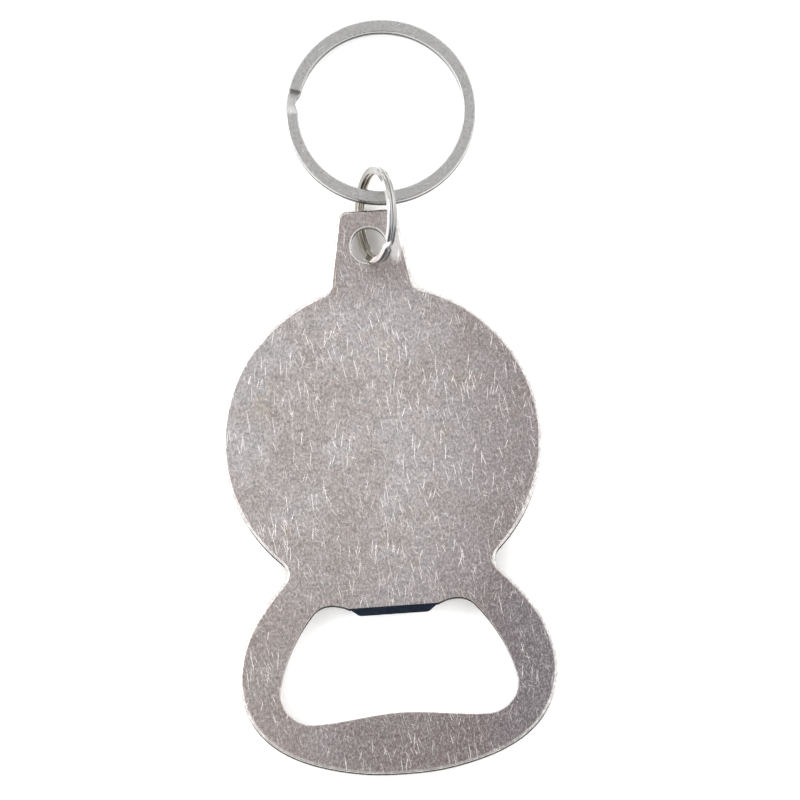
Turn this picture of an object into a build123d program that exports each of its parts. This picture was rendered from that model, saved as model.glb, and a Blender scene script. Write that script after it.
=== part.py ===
from build123d import *
from build123d.topology import SkipClean
import os
from math import cos, degrees, pi, radians, sin

# Keychain bottle opener: one stamped steel plate, a small split ring through its lug, and a large
# split ring for the keys. Millimetres. +Z is the normal of the plate's plain back, +Y runs from the
# cap window to the lug. The object lies on its front: the lug rests on the small ring's lower bow,
# and the large ring leans on that bow and on the ground, z = 0. The parts are drawn round the
# disc's axis, and then moved so that the origin is the bottom centre of the whole.

# ---- plate ----
THICKNESS = 1.8
FRONT_Z = 1.65               # height of the front face above the ground
MID_Z = FRONT_Z + THICKNESS / 2
BACK_Z = FRONT_Z + THICKNESS
DISC_R = 22.5
EDGE_R = 0.5                 # rolled-over outer edge, both faces
SEAT_R = 21.0                # flat round seat for a badge, both faces

LUG_TOP_Y = 33.1
LUG_TOP_HALF = 4.0
LUG_ROOT_Y = 20.0
LUG_TAPER = 0.18             # half-width gained per millimetre towards the disc
LUG_CORNER_R = 1.6
LUG_FILLET_R = 1.5
HOLE_Y = 28.05
HOLE_R = 2.5
HOLE_RIM_R = 0.2

WAIST_FILLET_R = 1.9
LOOP_START = (0.68, -0.73)   # direction in which the loop's side leaves the disc
LOOP_OUTER = [               # right half of the loop, from inside the disc to the bottom
    (13.2, -17.0),
    (16.9, -20.95),
    (20.35, -25.6),
    (22.15, -30.25),
    (22.5, -33.3),
    (22.05, -36.4),
    (19.9, -40.65),
    (16.35, -43.7),
    (7.6, -46.75),
    (0, -47.4),
]

NOTCH_TOP = (9.0, -22.9)     # top of the notch beside the lip
NOTCH_R = 3.3
SIDE_R = 24.0                # slightly bowed side of the window
CORNER_CENTRE = (12.3, -35.2)
CORNER_R = 4.5
SILL_START_X = 8.5           # the sill bulges up into the window between these
SILL_TOP_X = 4.0
SILL_TOP_Y = -38.7
WINDOW_EDGE_R = 0.15

LIP_ROOT_Y = -23.6
LIP_ROOT_HALF = 6.3
LIP_TIP_HALF = 4.9
LIP_REACH = 0.85             # how far the lip stands into the window, in plan
LIP_BEND = 65.0              # degrees down from the plate
LIP_CORNER_R = 0.8

# ---- split rings ----
COIL_GAP = 0.05              # between the two coils of one ring
END_GAP = 0.1                # between a coil's end face and the start of the jog
JOG_STEPS = 6
WIRE_CORNER_R = 0.2

LINK_R = 6.9
LINK_WIRE = (1.1, 0.57)      # radial width, axial width of one coil
LINK_JOG_HALF = 6.5          # half the jog's length, in degrees
LINK_JOG_AT = -50.0          # degrees round the ring
LINK_NECK = 1.0              # share of the wire's width left in the middle of the jog
LINK_LEAN = 68.8             # degrees between the ring's plane and the ground
LINK_CENTRE = (1.35, 31.8)

KEY_R = 13.42
KEY_WIRE = (1.72, 0.95)
KEY_JOG_HALF = 8.0
KEY_JOG_AT = 170.0
KEY_NECK = 0.75
KEY_LEAN = 7.0               # degrees, near side up on the small ring
KEY_CENTRE = (3.05, 46.95)


def mirrored_face(right):
    """Closed face from the right half of its outline, which ends on the centre line."""
    left = right.mirror(Plane.YZ)
    start = right @ 0
    top = Line((-start.X, start.Y), (start.X, start.Y))
    return make_face([*right.edges(), *left.edges(), top])


def lug_face():
    root_half = LUG_TOP_HALF + LUG_TAPER * (LUG_TOP_Y - LUG_ROOT_Y)
    outline = Polygon(
        (-root_half, LUG_ROOT_Y),
        (root_half, LUG_ROOT_Y),
        (LUG_TOP_HALF, LUG_TOP_Y),
        (-LUG_TOP_HALF, LUG_TOP_Y),
        align=None,
    )
    return fillet(outline.vertices().sort_by(Axis.Y)[-2:], LUG_CORNER_R)


def plate_outline():
    loop = mirrored_face(Spline(LOOP_OUTER, tangents=[LOOP_START, (-1, 0)]))
    outline = Circle(DISC_R) + loop + lug_face()
    waist = outline.vertices().filter_by(lambda v: -DISC_R < v.Y < -DISC_R / 2)
    outline = fillet(waist, WAIST_FILLET_R)
    lug_roots = outline.vertices().filter_by(lambda v: DISC_R / 2 < v.Y < DISC_R)
    return fillet(lug_roots, LUG_FILLET_R)


def arc_about(centre, start, end):
    """Short arc from start to end round a centre."""
    middle = (start - centre).normalized() + (end - centre).normalized()
    return ThreePointArc(start, centre + middle.normalized() * (start - centre).length, end)


def enclosing_centre(first, first_r, second, second_r, radius):
    """Centre, on the left, of the circle of a radius that touches two smaller circles inside it."""
    apart = second - first
    reach_1 = radius - first_r
    reach_2 = radius - second_r
    along = (reach_1**2 - reach_2**2 + apart.length**2) / (2 * apart.length)
    aside = (reach_1**2 - along**2) ** 0.5
    forward = apart.normalized()
    left = Vector(forward.Y, -forward.X)
    return first + forward * along + left * aside


def plate_window():
    root = Vector(LIP_ROOT_HALF, LIP_ROOT_Y)
    top = Vector(*NOTCH_TOP)
    run = top - root
    rise_r = (run.X**2 + run.Y**2) / (2 * run.Y)
    notch = top - Vector(0, NOTCH_R)
    corner = Vector(*CORNER_CENTRE)
    side = enclosing_centre(notch, NOTCH_R, corner, CORNER_R, SIDE_R)
    side_start = side + (notch - side).normalized() * SIDE_R
    side_end = side + (corner - side).normalized() * SIDE_R
    low = corner - Vector(0, CORNER_R)
    right = Wire([
        arc_about(top - Vector(0, rise_r), root, top),
        arc_about(notch, top, side_start),
        arc_about(side, side_start, side_end),
        arc_about(corner, side_end, low),
        Bezier(low, (SILL_START_X, low.Y), (SILL_TOP_X, SILL_TOP_Y), (0, SILL_TOP_Y)),
    ])
    return mirrored_face(right)


def lip():
    """Prying lip, bent down from the window's upper edge."""
    bend = radians(LIP_BEND)
    length = LIP_REACH / cos(bend)
    # The lip's face leaves the rounded rim of the window as its tangent.
    root_y = LIP_ROOT_Y + WINDOW_EDGE_R * (1 - sin(bend))
    root_z = BACK_Z - WINDOW_EDGE_R * (1 - cos(bend))
    plane = Plane(
        origin=(0, root_y, root_z),
        x_dir=(1, 0, 0),
        z_dir=(0, -sin(bend), cos(bend)),
    )
    outline = Polygon(
        (-LIP_TIP_HALF, -length),
        (LIP_TIP_HALF, -length),
        (LIP_ROOT_HALF, 0),
        (-LIP_ROOT_HALF, 0),
        align=None,
    )
    outline = fillet(outline.vertices().sort_by(Axis.Y)[:2], LIP_CORNER_R)
    return extrude(plane * outline, -THICKNESS)


def outer_edges(plate):
    """Outer edges of the front and the back face."""
    return [edge for face in plate.faces().filter_by(Plane.XY) for edge in face.outer_wire().edges()]


def opening_rims(plate):
    """Rims of the openings in the front and the back face."""
    wires = [wire for face in plate.faces().filter_by(Plane.XY) for wire in face.inner_wires()]
    return [edge for wire in wires for edge in wire.edges()]


def opener_plate():
    front = Plane.XY.offset(FRONT_Z)
    plate = extrude(front * plate_outline(), THICKNESS)
    plate = fillet(outer_edges(plate), EDGE_R)

    plate -= extrude(front * plate_window(), THICKNESS)
    plate = fillet(opening_rims(plate), WINDOW_EDGE_R)

    plate -= Pos(0, HOLE_Y, MID_Z) * Cylinder(HOLE_R, THICKNESS)
    hole_rims = [edge for edge in opening_rims(plate) if edge.center().Y > 0]
    plate = fillet(hole_rims, HOLE_RIM_R)
    plate += lip()

    # Each round seat stays a face of its own, flush with the plate round it.
    seats = Pos(0, 0, MID_Z) * Cylinder(SEAT_R, THICKNESS)
    with SkipClean():
        return (plate - seats) + (plate & seats)


def section_at(angle, radius, level, section):
    """The wire's section standing across the ring at an angle."""
    turn = radians(angle)
    plane = Plane(
        origin=(radius * cos(turn), radius * sin(turn), level),
        x_dir=(cos(turn), sin(turn), 0),
        z_dir=(-sin(turn), cos(turn), 0),
    )
    return plane * section


def split_ring(outer_r, wire, jog_half, neck):
    """One length of flat wire in two touching coils, with the jog between them at angle 0.

    The lower coil runs from just past the jog all the way round to it, the jog lifts the wire by
    one coil, and the upper coil runs round again.
    """
    radial, axial = wire
    mean_r = outer_r - radial / 2
    level = (axial + COIL_GAP) / 2
    end_angle = jog_half + degrees(END_GAP / mean_r)

    def coil(start, stop, height):
        section = RectangleRounded(radial, axial, WIRE_CORNER_R)
        return revolve(section_at(start, mean_r, height, section), Axis.Z, stop - start)

    stations = []
    for i in range(JOG_STEPS + 1):
        part_way = i / JOG_STEPS
        rise = part_way * part_way * (3 - 2 * part_way)
        width = radial * (1 - (1 - neck) * sin(pi * part_way) ** 2)
        section = RectangleRounded(width, axial, WIRE_CORNER_R)
        angle = jog_half * (2 * part_way - 1)
        stations.append(section_at(angle, outer_r - width / 2, level * (2 * rise - 1), section))

    return coil(end_angle, 360 - jog_half, -level) + loft(stations) + coil(jog_half, 360 - end_angle, level)


def on_ground(part):
    """The same part, moved down until it touches z = 0."""
    return Pos(0, 0, -part.bounding_box().min.Z) * part


def link_ring():
    # This ring is coiled the other way round from the key ring.
    coiled = split_ring(LINK_R, LINK_WIRE, LINK_JOG_HALF, LINK_NECK).mirror(Plane.XY)
    ring = Rot(0, 0, LINK_JOG_AT) * coiled
    return on_ground(Pos(*LINK_CENTRE) * Rot(0, -LINK_LEAN, 0) * ring)


def key_ring():
    ring = Rot(0, 0, KEY_JOG_AT) * split_ring(KEY_R, KEY_WIRE, KEY_JOG_HALF, KEY_NECK)
    return on_ground(Pos(*KEY_CENTRE) * Rot(-KEY_LEAN, 0, 0) * ring)


def keychain_opener():
    """All nodes by name, moved so that the origin is the bottom centre of the whole."""
    nodes = {
        "opener_plate": opener_plate(),
        "link_ring": link_ring(),
        "key_ring": key_ring(),
    }
    box = Compound(list(nodes.values())).bounding_box()
    to_origin = Pos(-box.center().X, -box.center().Y, -box.min.Z)
    return {name: to_origin * part for name, part in nodes.items()}


if __name__ == "__main__":
    os.makedirs("parts", exist_ok=True)
    for node, solid in keychain_opener().items():
        export_step(solid, f"parts/{node}.step")
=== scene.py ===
import math

import bpy
from mathutils import Matrix, Vector


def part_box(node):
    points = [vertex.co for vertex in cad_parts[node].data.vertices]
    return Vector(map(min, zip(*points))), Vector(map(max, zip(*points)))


# Looks of the keychain bottle opener: a scratched, satin nickel plate with polished rolled edges, a
# satin key ring and a bright small ring, on a white table in soft light. Shader patterns are laid
# out in millimetres, in the frame's own directions.

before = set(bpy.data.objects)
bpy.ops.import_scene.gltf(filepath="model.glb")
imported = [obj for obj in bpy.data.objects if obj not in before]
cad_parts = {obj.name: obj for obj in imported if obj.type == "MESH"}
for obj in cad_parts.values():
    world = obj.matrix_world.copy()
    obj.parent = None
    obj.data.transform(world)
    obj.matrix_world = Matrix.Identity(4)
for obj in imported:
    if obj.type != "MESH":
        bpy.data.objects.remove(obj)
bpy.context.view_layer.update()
MM = 0.001

# ---- places, from the frame ----
PLATE_LOW, PLATE_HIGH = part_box("opener_plate")
KEY_LOW, KEY_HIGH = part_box("key_ring")
LINK_LOW, LINK_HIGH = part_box("link_ring")
KEY_CENTRE = (KEY_LOW + KEY_HIGH) / 2
LINK_CENTRE = (LINK_LOW + LINK_HIGH) / 2
KEY_LEAN = math.radians(-7.0)        # about X, as in the part
LINK_LEAN = math.radians(-68.8)      # about Y, as in the part

# ---- view ----
VIEW_TILT = math.radians(8.0)        # from straight above, towards the cap window
VIEW_ROLL = math.radians(4.0)        # the opener lies turned by this on the table
VIEW_DISTANCE = 4.0
VIEW_WIDTH = 0.113                   # across the picture at the plate's back
VIEW_OFFSET = Vector((2.92, -0.82, 0)) * MM

# ---- surroundings ----
TABLE_SIZE = 3.0
SKY = (                              # brightness by the sine of the height angle
    (0.00, 0.95),
    (0.38, 1.10),
    (0.52, 1.80),
    (0.82, 1.80),
    (0.91, 0.62),
)
SKY_BEHIND_CAMERA = 0.40             # the part of the room that the photographer darkens
BEHIND_CAMERA_Y = (-0.70, -0.40)     # the directions between which that darkening fades out
TABLE_WHITE = (0.90, 0.90, 0.89)
TABLE_ROUGHNESS = 0.8
SOFTBOX_PLACE = (-0.75, 0.30, 0.70)
SOFTBOX_SIZE = (0.35, 0.35)
SOFTBOX_POWER = 3.0
TABLE_LIGHTS = 6                     # round the table, to whiten it
TABLE_LIGHT_RING = 0.74              # radius on which they stand
TABLE_LIGHT_HEIGHT = 0.52
TABLE_LIGHT_SIZE = (0.6, 0.4)
TABLE_LIGHT_POWER = 2.2

# ---- the plate's finish, lengths in millimetres ----
POLISH_AND_HIGHLIGHT = (0.74, 0.725, 0.70)         # polished edges, lightened further as a painted highlight
WARM = (0.492, 0.436, 0.424)
COOL = (0.545, 0.511, 0.511)
TARNISH_AND_SHADE = (0.250, 0.200, 0.204)
GREY_TARNISH_AND_SHADE = (0.240, 0.212, 0.224)
STAIN = (0.46, 0.385, 0.32)
SCRATCH_GLINT = (0.92, 0.90, 0.885)
RING_REFLECTION = (0.97, 0.955, 0.94)
# painted shade on the walls facing the loop's bottom
WALL_SHADE = (0.05, 0.045, 0.045)
LIP_DARK = (0.012, 0.020, 0.040)
LIP_PALE = (0.020, 0.030, 0.052)
DISC_Y = PLATE_LOW.y / MM + 47.4     # middle of the disc, above the loop's bottom
HOLE_Y = DISC_Y + 28.05
HOLE_R = 2.5
HOLE_RIM = 0.26
LIP_TOP = DISC_Y - 23.4              # the lip's root line
LIP_HALF = 6.6
LIP_DROP = 1.85
WINDOW_TOP = -20.75                  # bounds round the cap window, from the disc's middle
WINDOW_LOW = -41.25
WINDOW_HALF = 10.4                   # at the disc's middle, if its sloping sides went on
WINDOW_SLOPE = 0.22
RING_REFLECTION_X = 3.8                          # painted highlight beside the hole, the small ring's reflection on the lug
RING_REFLECTION_Y = HOLE_Y - 0.4
RING_REFLECTION_HALF = (1.1, 2.7)
MARK_WANDER = 1.5                    # how far the marks stray from a straight line
# Marks as (length, width, spacing, angle in degrees, share kept, seed), in millimetres.
LONG_MARKS = (
    (4.2, 0.100, 3.0, -6, 0.50, 1),
    (3.2, 0.095, 2.5, 7, 0.50, 2),
    (2.6, 0.090, 2.2, -13, 0.50, 3),
    (2.0, 0.090, 1.9, 20, 0.40, 4),
    (1.5, 0.085, 1.7, -27, 0.40, 5),
    (1.6, 0.080, 2.4, -68, 0.30, 6),
)
SHORT_MARKS = (
    (0.85, 0.100, 0.62, 3, 0.55, 7),
    (0.60, 0.105, 0.52, -14, 0.55, 8),
    (0.42, 0.120, 0.42, 22, 0.5, 9),
    (0.28, 0.150, 0.38, -48, 0.5, 10),
)

# ---- the rings' finishes, lengths in millimetres ----
KEY_MEAN_R = 12.5
KEY_DULL = (0.36, 0.357, 0.353)
KEY_CLEAR = (0.52, 0.516, 0.508)
KEY_SCRATCH = (0.85, 0.845, 0.83)
KEY_EDGE = (0.42, 0.415, 0.41)
KEY_SEAM_SHADE = (0.07, 0.065, 0.065)
LINK_MEAN_R = 6.3
LINK_DULL = (0.33, 0.325, 0.32)
LINK_CLEAR = (0.45, 0.445, 0.44)
LINK_WORN = (0.34, 0.31, 0.25)
LINK_YELLOW = (0.30, 0.275, 0.22)
LINK_INSIDE = (0.85, 0.80, 0.70)
LINK_PAINTED_REFLECTION = (0.17, 0.17, 0.20)
LINK_SIDE = (0.70, 0.70, 0.70)
LINK_SEAM = (0.55, 0.54, 0.52)


class Shader:
    """A metal's node tree, with one method for each kind of node used here."""

    def __init__(self, name):
        self.material = bpy.data.materials.new(name)
        self.material.use_nodes = True
        self.tree = self.material.node_tree
        self.surface = self.tree.nodes["Principled BSDF"]
        self.surface.inputs["Metallic"].default_value = 1.0
        self.coordinates = self.tree.nodes.new("ShaderNodeTexCoord")
        self.place = self.vector("SCALE", self.coordinates.outputs["Object"], scale=1 / MM)
        self.normal = self.coordinates.outputs["Normal"]

    def put(self, value, socket):
        """A constant or another node's output, into a socket."""
        if isinstance(value, bpy.types.NodeSocket):
            self.tree.links.new(value, socket)
        elif socket.type == "RGBA" and len(value) == 3:
            socket.default_value = (*value, 1)
        else:
            socket.default_value = value

    def set(self, **inputs):
        """Inputs of the metal's surface, by name."""
        for name, value in inputs.items():
            self.put(value, self.surface.inputs[name.replace("_", " ")])

    def node(self, kind, **settings):
        made = self.tree.nodes.new("ShaderNode" + kind)
        for name, value in settings.items():
            setattr(made, name, value)
        return made

    def math(self, operation, *values, clamp=False):
        made = self.node("Math", operation=operation, use_clamp=clamp)
        for value, socket in zip(values, made.inputs):
            self.put(value, socket)
        return made.outputs["Value"]

    def vector(self, operation, *values, scale=None):
        made = self.node("VectorMath", operation=operation)
        for value, socket in zip(values, made.inputs):
            self.put(value, socket)
        if scale is not None:
            self.put(scale, made.inputs["Scale"])
        return made.outputs["Value" if operation in ("LENGTH", "DOT_PRODUCT") else "Vector"]

    def split(self, vector):
        made = self.node("SeparateXYZ")
        self.put(vector, made.inputs["Vector"])
        return made.outputs["X"], made.outputs["Y"], made.outputs["Z"]

    def join(self, x, y, z=0.0):
        made = self.node("CombineXYZ")
        for value, socket in zip((x, y, z), made.inputs):
            self.put(value, socket)
        return made.outputs["Vector"]

    def turned(self, vector, angle, axis="Z_AXIS"):
        made = self.node("VectorRotate", rotation_type=axis)
        self.put(vector, made.inputs["Vector"])
        self.put(angle, made.inputs["Angle"])
        return made.outputs["Vector"]

    def noise(self, vector, scale, detail=2.0, roughness=0.5):
        made = self.node("TexNoise")
        self.put(vector, made.inputs["Vector"])
        self.put(scale, made.inputs["Scale"])
        self.put(detail, made.inputs["Detail"])
        self.put(roughness, made.inputs["Roughness"])
        return made.outputs["Fac"]

    def noise_colour(self, vector, scale, detail=2.0):
        made = self.node("TexNoise")
        self.put(vector, made.inputs["Vector"])
        self.put(scale, made.inputs["Scale"])
        self.put(detail, made.inputs["Detail"])
        return made.outputs["Color"]

    def cells(self, vector):
        """Distance to the nearest of some random points, and that point's random value."""
        made = self.node("TexVoronoi", voronoi_dimensions="2D", feature="F1")
        self.put(vector, made.inputs["Vector"])
        self.put(1.0, made.inputs["Scale"])
        return made.outputs["Distance"], made.outputs["Color"]

    def between(self, value, low, high, to_low=0.0, to_high=1.0, smooth=False):
        """Value mapped so that low gives to_low and high gives to_high, held outside them."""
        made = self.node("MapRange", interpolation_type="SMOOTHSTEP" if smooth else "LINEAR")
        for name, number in (
            ("Value", value),
            ("From Min", low),
            ("From Max", high),
            ("To Min", to_low),
            ("To Max", to_high),
        ):
            self.put(number, made.inputs[name])
        return made.outputs["Result"]

    def mix(self, share, first, second):
        """Blend of two colours."""
        made = self.node("Mix", data_type="RGBA")
        self.put(share, made.inputs[0])
        first_colour, second_colour = made.inputs[6:8]
        self.put(first, first_colour)
        self.put(second, second_colour)
        return made.outputs[2]

    def bump(self, height, depth):
        made = self.node("Bump")
        self.put(1.0, made.inputs["Strength"])
        self.put(depth * MM, made.inputs["Distance"])
        self.put(height, made.inputs["Height"])
        return made.outputs["Normal"]

    def brightest(self, values):
        result = values[0]
        for value in values[1:]:
            result = self.math("MAXIMUM", result, value)
        return result


def scratches(shader, place, length, width, spacing, angle, share, seed):
    """Short straight marks along one direction: 1 in the middle of a mark, 0 away from it.

    Each mark is an ellipse round a random point of a grid stretched along the mark.
    """
    stretch = length / width
    cross = spacing / stretch**0.5
    turned = shader.turned(place, angle)
    shifted = shader.vector("ADD", turned, (seed * 17.3, seed * 31.7, 0))
    grid = shader.vector("MULTIPLY", shifted, (1 / cross, 1 / (cross * stretch), 0))
    distance, colour = shader.cells(grid)
    red, green, _ = shader.split(colour)
    chosen = shader.between(red, 1 - share, 1 - share + 0.02)
    radius = width / 2 / cross
    depth = shader.between(distance, radius, radius * 0.3, smooth=True)
    strength = shader.between(green, 0, 1, 0.35, 1.0)
    return shader.math("MULTIPLY", shader.math("MULTIPLY", depth, chosen), strength)


def plated_steel():
    """The opener: satin nickel, worn by handling, with polished rolled edges and sheared walls;
    some highlights, reflections and shade are painted into its colour.
    """
    shader = Shader("scratched_satin_nickel")
    place = shader.place
    x, y, _ = shader.split(place)
    _, facing_y, facing_z = shader.split(shader.normal)
    flatness = shader.math("ABSOLUTE", facing_z)

    # Handling marks run mostly along the plate, crowded in some places and few in others.
    wander = shader.vector("SUBTRACT", shader.noise_colour(place, 0.10, 1.0), (0.5, 0.5, 0.5))
    bent = shader.vector("ADD", place, shader.vector("SCALE", wander, scale=MARK_WANDER))
    marks = shader.brightest([
        scratches(shader, bent, length, width, spacing, math.radians(angle), share, seed)
        for length, width, spacing, angle, share, seed in LONG_MARKS
    ])
    specks = shader.brightest([
        scratches(shader, bent, length, width, spacing, math.radians(angle), share, seed)
        for length, width, spacing, angle, share, seed in SHORT_MARKS
    ])
    crowding = shader.noise(place, 0.16, 2.0, 0.6)
    marks = shader.math("MULTIPLY", marks, shader.between(crowding, 0.32, 0.50, 0.55, 1.0))

    grain = shader.noise(shader.vector("MULTIPLY", place, (1, 0.7, 1)), 2.9, 3.0, 0.8)
    clouds = shader.noise(place, 0.11, 3.0, 0.6)
    mottle = shader.noise(place, 0.62, 4.0, 0.7)

    # The disc's right side, the loop and the lug are duller than the rest of the disc: tarnish, and
    # towards the right and the loop partly a painted shade of light falling from the left.
    height = shader.math("SUBTRACT", y, DISC_Y)
    right = shader.between(x, 0, 22, 0.0, 0.62, smooth=True)
    low = shader.between(height, -2, -45, 0.0, 0.82, smooth=True)
    low = shader.math("MULTIPLY", low, shader.between(x, -20, -4, 0.5, 1.0, smooth=True))
    lug = shader.between(height, 15, 26, 0.0, 0.35, smooth=True)
    dull_and_shade = shader.math("ADD", shader.math("ADD", right, low), lug, clamp=True)
    dull_and_shade = shader.math("MULTIPLY", dull_and_shade, shader.between(mottle, 0.35, 0.65, 0.75, 1.25))

    face = shader.mix(shader.between(clouds, 0.40, 0.58, smooth=True), WARM, COOL)
    face = shader.mix(shader.between(crowding, 0.60, 0.74, 0.0, 0.5, smooth=True), face, STAIN)
    in_loop = shader.between(height, -14, -26, smooth=True)
    stained = shader.math("MULTIPLY", in_loop, shader.between(x, -10, -19, 0.0, 0.35, smooth=True))
    face = shader.mix(stained, face, STAIN)
    greyed = shader.math("MULTIPLY", in_loop, shader.between(x, 10, 18, smooth=True))
    face = shader.mix(dull_and_shade, face, shader.mix(greyed, TARNISH_AND_SHADE, GREY_TARNISH_AND_SHADE))
    tone = shader.math(
        "MULTIPLY",
        shader.between(grain, 0.25, 0.75, 0.58, 1.46),
        shader.between(mottle, 0.30, 0.70, 0.80, 1.20),
    )
    face = shader.vector("SCALE", face, scale=tone)
    # The grain's sparks, specks and marks are real; their near-white colour is partly a painted
    # glint, the light that scratches scatter.
    face = shader.mix(shader.between(grain, 0.60, 0.74, 0.0, 0.6), face, SCRATCH_GLINT)
    face = shader.mix(shader.math("MULTIPLY", specks, 0.5), face, SCRATCH_GLINT)
    face = shader.mix(shader.math("MULTIPLY", marks, 0.65), face, SCRATCH_GLINT)

    # Rubbing has polished the rolled edges; their lighter colour is partly a painted highlight.
    rolled = shader.between(flatness, 0.985, 0.88, smooth=True)
    patchy = shader.between(shader.noise(place, 0.9, 3.0, 0.7), 0.42, 0.58, 0.45, 1.0)
    rolled = shader.math("MULTIPLY", rolled, patchy)
    rolled = shader.math("MULTIPLY", rolled, shader.between(grain, 0.35, 0.6, 0.6, 1.0))
    # The window's rim is not polished, and gets little of the painted edge highlight.
    flare = shader.math("MULTIPLY", height, WINDOW_SLOPE)
    side = shader.math("ADD", shader.math("ABSOLUTE", x), flare)
    in_window = shader.between(side, WINDOW_HALF + 0.2, WINDOW_HALF - 0.2)
    below_top = shader.between(height, WINDOW_TOP + 0.25, WINDOW_TOP - 0.25)
    above_low = shader.between(height, WINDOW_LOW - 0.25, WINDOW_LOW + 0.25)
    in_window = shader.math("MULTIPLY", in_window, below_top)
    in_window = shader.math("MULTIPLY", in_window, above_low)
    rolled = shader.math("MULTIPLY", rolled, shader.between(in_window, 0, 1, 1.0, 0.2))
    from_hole = shader.vector("LENGTH", shader.join(x, shader.math("SUBTRACT", y, HOLE_Y)))
    # Painted highlight: a bright ring painted round the lug's hole.
    rim_highlight = shader.between(from_hole, HOLE_R + HOLE_RIM + 0.06, HOLE_R + HOLE_RIM - 0.06)
    rolled = shader.math("MAXIMUM", rolled, rim_highlight)
    colour = shader.mix(rolled, face, POLISH_AND_HIGHLIGHT)
    # Painted highlight: the small ring's reflection, painted as a bright patch on the lug beside
    # its hole.
    reflection_x = shader.math("MULTIPLY", shader.math("SUBTRACT", x, RING_REFLECTION_X), 1 / RING_REFLECTION_HALF[0])
    reflection_y = shader.math("MULTIPLY", shader.math("SUBTRACT", y, RING_REFLECTION_Y), 1 / RING_REFLECTION_HALF[1])
    painted_reflection = shader.vector("LENGTH", shader.join(reflection_x, reflection_y))
    painted_reflection = shader.math("MULTIPLY", shader.between(painted_reflection, 1.1, 0.5, smooth=True), 0.75)
    colour = shader.mix(painted_reflection, colour, RING_REFLECTION)
    # Painted shade: the sheared walls are painted dark on the side towards the loop's bottom, less
    # so round the hole.
    below = shader.between(facing_y, -0.25, -0.60, 0.15, 1.0)
    off_hole = shader.between(from_hole, HOLE_R, HOLE_R + 0.3, 0.6, 1.0)
    below = shader.math("MULTIPLY", below, off_hole)
    shaded_wall = shader.math("MULTIPLY", shader.between(flatness, 0.62, 0.40, smooth=True), below)
    colour = shader.mix(shaded_wall, colour, WALL_SHADE)

    # The lip's face inside the window, towards the loop's bottom, is coloured dark navy.
    lip_side = shader.between(facing_y, -0.3, -0.6)
    lip_near = shader.between(shader.math("ABSOLUTE", x), LIP_HALF + 0.3, LIP_HALF)
    lip_far = shader.between(y, LIP_TOP + 0.3, LIP_TOP)
    lip_low = shader.between(y, LIP_TOP - LIP_DROP - 0.15, LIP_TOP - LIP_DROP + 0.15)
    lip = lip_side
    for bound in (lip_near, lip_far, lip_low):
        lip = shader.math("MULTIPLY", lip, bound)
    lip_colour = shader.mix(shader.between(mottle, 0.4, 0.6), LIP_DARK, LIP_PALE)
    colour = shader.mix(lip, colour, lip_colour)

    roughness = shader.between(grain, 0.3, 0.7, 0.30, 0.42)
    roughness = shader.math("ADD", roughness, shader.math("MULTIPLY", marks, 0.12))
    roughness = shader.math("MULTIPLY", roughness, shader.between(rolled, 0, 1, 1.0, 0.6))
    roughness = shader.math("MAXIMUM", roughness, shader.math("MULTIPLY", shaded_wall, 0.85))
    relief = shader.math("SUBTRACT", grain, shader.math("MULTIPLY", marks, 1.2))
    shader.set(
        Base_Color=colour,
        Roughness=roughness,
        Normal=shader.bump(relief, 0.010),
    )
    return shader.material


def satin_nickel():
    """The key ring's flat wire: fine grain along the wire and polished corners."""
    shader = Shader("satin_nickel_wire")
    centred = shader.vector("SUBTRACT", shader.place, tuple(KEY_CENTRE / MM))
    local = shader.turned(centred, -KEY_LEAN, "X_AXIS")
    x, y, z = shader.split(local)
    radius = shader.vector("LENGTH", shader.join(x, y))
    along = shader.math("MULTIPLY", shader.math("ARCTAN2", y, x), KEY_MEAN_R)
    unrolled = shader.join(radius, along, z)
    _, _, facing = shader.split(shader.turned(shader.normal, -KEY_LEAN, "X_AXIS"))
    flatness = shader.math("ABSOLUTE", facing)

    grain = shader.noise(shader.vector("MULTIPLY", unrolled, (1, 0.6, 1)), 3.2, 3.0, 0.8)
    worn = shader.noise(unrolled, 0.35, 2.0, 0.6)
    marks = shader.brightest([
        scratches(shader, unrolled, 1.6, 0.10, 1.3, math.radians(8), 0.5, 11),
        scratches(shader, unrolled, 0.5, 0.14, 0.6, math.radians(-35), 0.5, 12),
    ])
    marks = shader.math("MULTIPLY", marks, shader.between(worn, 0.4, 0.6, 0.1, 0.8))
    face = shader.mix(shader.between(grain, 0.25, 0.75), KEY_DULL, KEY_CLEAR)
    face = shader.mix(marks, face, KEY_SCRATCH)
    polished = shader.between(flatness, 0.88, 0.60, smooth=True)
    colour = shader.mix(polished, face, KEY_EDGE)
    # Painted shade: the seam between the two coils and the wall of the lower one are painted dark.
    seam = shader.between(z, 0.25, 0.05, smooth=True)
    colour = shader.mix(shader.math("MULTIPLY", seam, polished), colour, KEY_SEAM_SHADE)
    roughness = shader.between(grain, 0.3, 0.7, 0.26, 0.36)
    roughness = shader.math("MULTIPLY", roughness, shader.between(polished, 0, 1, 1.0, 0.4))
    shader.set(Base_Color=colour, Roughness=roughness, Normal=shader.bump(grain, 0.0008))
    return shader.material


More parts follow.
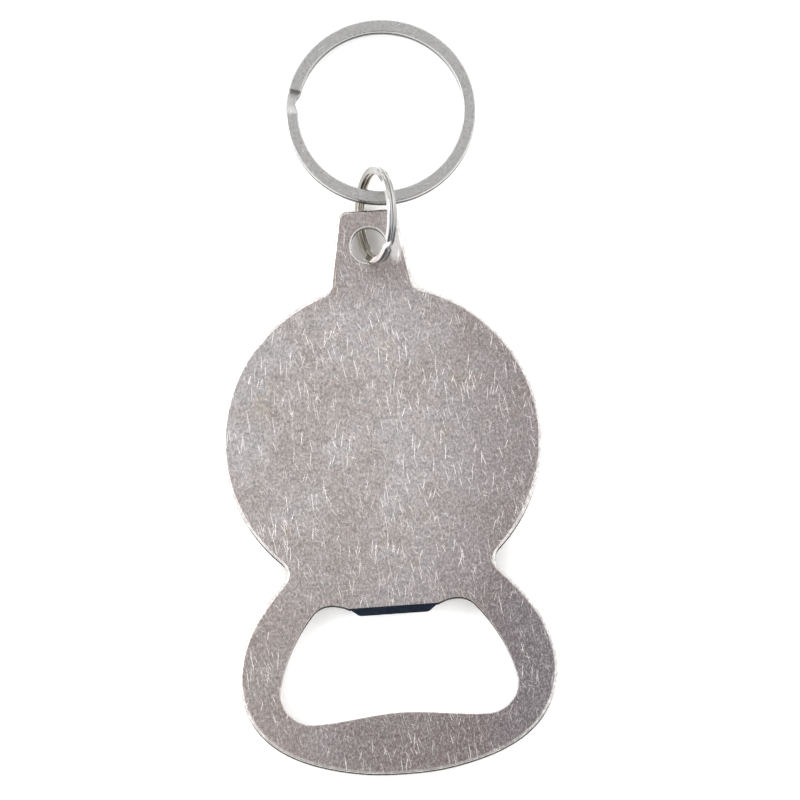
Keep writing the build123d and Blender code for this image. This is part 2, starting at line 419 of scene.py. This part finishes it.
def bright_nickel():
    """The small ring: smooth bright plating with faint draw lines along the wire."""
    shader = Shader("bright_nickel_wire")
    centred = shader.vector("SUBTRACT", shader.place, tuple(LINK_CENTRE / MM))
    local = shader.turned(centred, -LINK_LEAN, "Y_AXIS")
    x, y, z = shader.split(local)
    radius = shader.vector("LENGTH", shader.join(x, y))
    along = shader.math("MULTIPLY", shader.math("ARCTAN2", y, x), LINK_MEAN_R)
    unrolled = shader.join(radius, along, z)
    lines = shader.noise(shader.vector("MULTIPLY", unrolled, (1, 0.06, 1)), 7.0, 2.0, 0.6)
    wear = shader.noise(unrolled, 1.4, 3.0, 0.6)
    colour = shader.mix(shader.between(lines, 0.3, 0.7), LINK_DULL, LINK_CLEAR)
    colour = shader.mix(shader.between(wear, 0.50, 0.75, 0.0, 0.5), colour, LINK_WORN)
    yellowed = shader.between(x, 1.5, -3.0, 0.0, 0.85, smooth=True)
    colour = shader.mix(yellowed, colour, LINK_YELLOW)
    # The wire's inner side is brighter, where the key ring and the lug rub it.
    normal = shader.turned(shader.normal, -LINK_LEAN, "Y_AXIS")
    outward = shader.vector("NORMALIZE", shader.join(x, y))
    outward = shader.vector("DOT_PRODUCT", normal, outward)
    inside = shader.between(outward, -0.4, -0.9, 0.0, 0.8)
    colour = shader.mix(inside, colour, LINK_INSIDE)
    _, _, axial = shader.split(normal)
    side_face = shader.between(axial, 0.6, 0.9, smooth=True)
    side_face = shader.math("MULTIPLY", side_face, shader.between(x, -1.0, 2.0))
    # Painted reflection: the lower bow is painted dark on the side next to the lug's face, where it
    # reflects the plate.
    painted_reflection = shader.between(y, 2.5, -5.0, 0.0, 0.85, smooth=True)
    painted_reflection = shader.math("MULTIPLY", painted_reflection, shader.between(x, -0.5, 1.0))
    painted_reflection = shader.math("MULTIPLY", painted_reflection, shader.between(side_face, 0, 1, 1, 0))
    colour = shader.mix(painted_reflection, colour, LINK_PAINTED_REFLECTION)
    # The side faces and the seam between the two coils are brushed, not polished.
    towards_lug = shader.between(y, 4.0, -2.0, 0.1, 0.6, smooth=True)
    low_side = shader.math("MULTIPLY", side_face, towards_lug)
    colour = shader.mix(low_side, colour, LINK_SIDE)
    seam = shader.between(shader.math("ABSOLUTE", z), 0.30, 0.18, smooth=True)
    colour = shader.mix(shader.math("MULTIPLY", seam, 0.6), colour, LINK_SEAM)
    brushed = shader.math("MAXIMUM", shader.math("MULTIPLY", seam, 0.7), low_side)
    roughness = shader.between(wear, 0.3, 0.7, 0.07, 0.17)
    roughness = shader.math("MAXIMUM", roughness, shader.math("MULTIPLY", brushed, 0.5))
    shader.set(Base_Color=colour, Roughness=roughness, Normal=shader.bump(lines, 0.004))
    return shader.material


def table():
    """A white table under the object, larger than any view of it."""
    half = TABLE_SIZE / 2
    corners = [(-half, -half, 0), (half, -half, 0), (half, half, 0), (-half, half, 0)]
    mesh = bpy.data.meshes.new("table")
    mesh.from_pydata(corners, [], [(0, 1, 2, 3)])
    top = bpy.data.objects.new("table", mesh)
    bpy.context.scene.collection.objects.link(top)
    paint = bpy.data.materials.new("white_table")
    paint.use_nodes = True
    surface = paint.node_tree.nodes["Principled BSDF"]
    surface.inputs["Base Color"].default_value = (*TABLE_WHITE, 1)
    surface.inputs["Roughness"].default_value = TABLE_ROUGHNESS
    mesh.materials.append(paint)


def softbox(name, place, size, power, in_reflections=True):
    """A soft light that faces the object, and may be left out of the metal's reflections."""
    light = bpy.data.lights.new(name, "AREA")
    light.shape = "RECTANGLE"
    light.size, light.size_y = size
    light.energy = power
    lamp = bpy.data.objects.new(name, light)
    lamp.location = place
    lamp.visible_glossy = in_reflections
    lamp.rotation_euler = (-Vector(place)).to_track_quat("-Z", "Y").to_euler()
    bpy.context.scene.collection.objects.link(lamp)


def surroundings():
    """A pale room: brightest half-way up, darker overhead and behind the camera."""
    world = bpy.data.worlds.new("pale_room")
    bpy.context.scene.world = world
    world.use_nodes = True
    nodes = world.node_tree.nodes
    links = world.node_tree.links
    direction = nodes.new("ShaderNodeTexCoord")
    parts = nodes.new("ShaderNodeSeparateXYZ")
    ramp = nodes.new("ShaderNodeValToRGB")
    links.new(direction.outputs["Generated"], parts.inputs["Vector"])
    links.new(parts.outputs["Z"], ramp.inputs["Fac"])
    shade = nodes.new("ShaderNodeMapRange")
    shade.interpolation_type = "SMOOTHSTEP"
    for name, number in (
        ("From Min", BEHIND_CAMERA_Y[0]),
        ("From Max", BEHIND_CAMERA_Y[1]),
        ("To Min", SKY_BEHIND_CAMERA),
        ("To Max", 1.0),
    ):
        shade.inputs[name].default_value = number
    links.new(parts.outputs["Y"], shade.inputs["Value"])
    links.new(shade.outputs["Result"], nodes["Background"].inputs["Strength"])
    links.new(ramp.outputs["Color"], nodes["Background"].inputs["Color"])
    ramp.color_ramp.interpolation = "EASE"
    stops = ramp.color_ramp.elements
    while len(stops) < len(SKY):
        stops.new(1.0)
    for stop, (height, level) in zip(stops, SKY):
        stop.position = height
        stop.color = (level, level, level, 1)


def camera():
    """Looks down at the opener's back from a little towards the cap window."""
    target = Vector((0, 0, PLATE_HIGH.z)) + VIEW_OFFSET
    back = Vector((0, -math.sin(VIEW_TILT), math.cos(VIEW_TILT)))
    ahead = Vector((0, math.cos(VIEW_TILT), math.sin(VIEW_TILT)))
    side = Vector((1, 0, 0))
    right = side * math.cos(VIEW_ROLL) - ahead * math.sin(VIEW_ROLL)
    up = side * math.sin(VIEW_ROLL) + ahead * math.cos(VIEW_ROLL)
    data = bpy.data.cameras.new("camera")
    data.lens = data.sensor_width * VIEW_DISTANCE / VIEW_WIDTH
    data.clip_start = 0.01
    made = bpy.data.objects.new("camera", data)
    turn = Matrix((right, up, back)).transposed().to_4x4()
    made.matrix_world = Matrix.Translation(target + back * VIEW_DISTANCE) @ turn
    bpy.context.scene.collection.objects.link(made)
    bpy.context.scene.camera = made


def finish_node(name, material):
    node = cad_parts[name]
    node.data.materials.clear()
    node.data.materials.append(material)


finish_node("opener_plate", plated_steel())
finish_node("key_ring", satin_nickel())
finish_node("link_ring", bright_nickel())

table()
surroundings()
softbox("left_softbox", SOFTBOX_PLACE, SOFTBOX_SIZE, SOFTBOX_POWER)
for i in range(TABLE_LIGHTS):
    turn = 2 * math.pi * (i + 0.5) / TABLE_LIGHTS
    place = (
        TABLE_LIGHT_RING * math.cos(turn),
        TABLE_LIGHT_RING * math.sin(turn),
        TABLE_LIGHT_HEIGHT,
    )
    softbox(
        f"table_light_{i + 1}", place, TABLE_LIGHT_SIZE, TABLE_LIGHT_POWER, in_reflections=False
    )
camera()
bpy.context.scene.view_settings.view_transform = "Standard"
